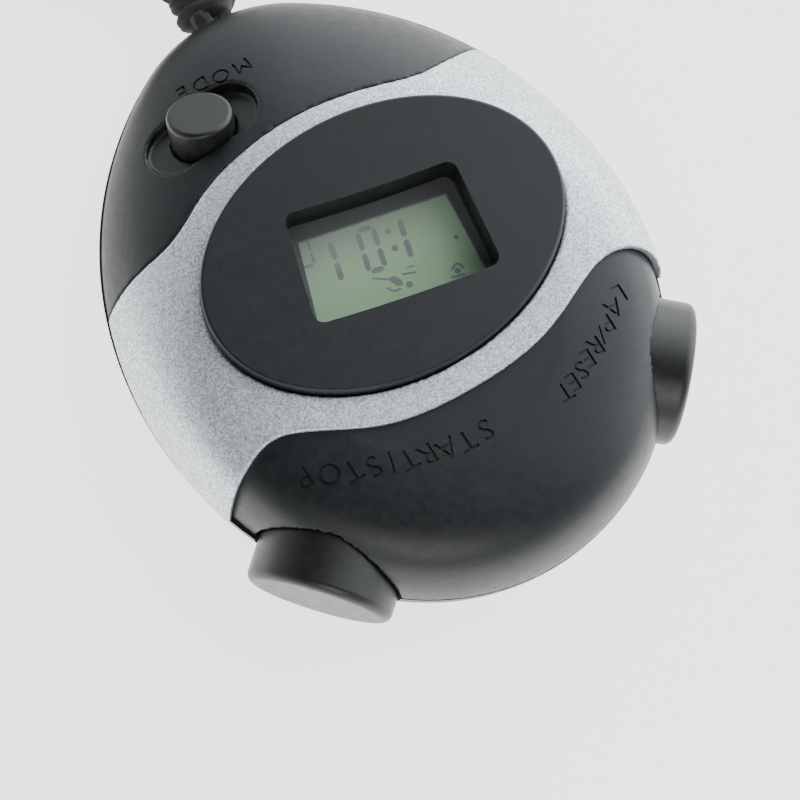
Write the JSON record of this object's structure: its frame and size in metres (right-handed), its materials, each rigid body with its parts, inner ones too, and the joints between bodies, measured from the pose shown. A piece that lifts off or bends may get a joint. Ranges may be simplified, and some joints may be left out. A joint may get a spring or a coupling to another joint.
{
  "type": "digital handheld stopwatch",
  "caption": "Egg-shaped handheld digital stopwatch with two big shoulder buttons, a small mode button, a recessed display in an oval bezel, and a neck lanyard.",
  "frame": {"origin": "on the flat back, under the middle of the case", "axes": "+Z out of the display, +Y from the lanyard end to the end with the two big buttons, +X to the side of the start/stop button"},
  "size_m": [0.0662, 0.159, 0.0225],
  "materials": {
    "black_plastic": "fine matte, faintly blue black",
    "button_plastic": "satin black",
    "silver_paint": "silver metallic paint with a fine sparkle",
    "clear_plastic": "clear",
    "lcd_panel": "grey-green reflective display",
    "black_rubber": "matte",
    "board_green": "solder mask",
    "plated_metal": "nickel plate",
    "ceramic": "ceramic",
    "screw_steel": "zinc plated",
    "brass_disc": "satin",
    "black_cord": "braided"
  },
  "bodies": {
    "case": {"front_shell": "black_plastic", "silver_fascia": "silver_paint", "display_bezel": "black_plastic", "window_lens": "clear_plastic", "lcd_frame": "black_plastic", "lcd_glass": "lcd_panel", "zebra_strips": "black_rubber", "circuit_board": "board_green", "chip_blob": "black_rubber", "crystal_can": "plated_metal", "board_capacitors": "ceramic", "board_screws": "screw_steel", "rear_shell": "black_plastic", "battery_door": "black_plastic", "door_screw": "screw_steel", "coin_cell": "plated_metal", "battery_contact_minus": "plated_metal", "battery_contact_plus": "plated_metal", "buzzer_disc": "brass_disc", "buzzer_springs": "screw_steel", "case_screws": "screw_steel", "start_stop_switch": "black_plastic", "lap_reset_switch": "black_plastic", "start_stop_spring": "screw_steel", "lap_reset_spring": "screw_steel", "mode_dome": "black_rubber", "lanyard_bar": "screw_steel", "lanyard_loop": "black_cord", "lanyard_knot": "black_cord", "lanyard_cord_out": "black_cord", "lanyard_cord_back": "black_cord", "lanyard_coil": "black_cord"},
    "start_stop": {"start_stop_button": "button_plastic", "start_stop_actuator": "button_plastic"},
    "lap_reset": {"lap_reset_button": "button_plastic", "lap_reset_actuator": "button_plastic"},
    "mode": {"mode_button": "button_plastic"}
  },
  "joints": [
    {"name": "start_stop_press", "type": "slide", "parent": "case", "child": "start_stop", "axis": [-0.7501, -0.6613, 0], "range_m": [0, 0.0012], "stiffness_N_per_m": 1000, "springref_m": -0.0006, "deforming": ["start_stop_spring"]},
    {"name": "lap_reset_press", "type": "slide", "parent": "case", "child": "lap_reset", "axis": [0.7501, -0.6613, 0], "range_m": [0, 0.0012], "stiffness_N_per_m": 1000, "springref_m": -0.0006, "deforming": ["lap_reset_spring"]},
    {"name": "mode_press", "type": "slide", "parent": "case", "child": "mode", "axis": [0.105, 0.419, -0.9019], "range_m": [0, 0.0008], "stiffness_N_per_m": 1200, "springref_m": -0.0004, "deforming": ["mode_dome"]}
  ]
}
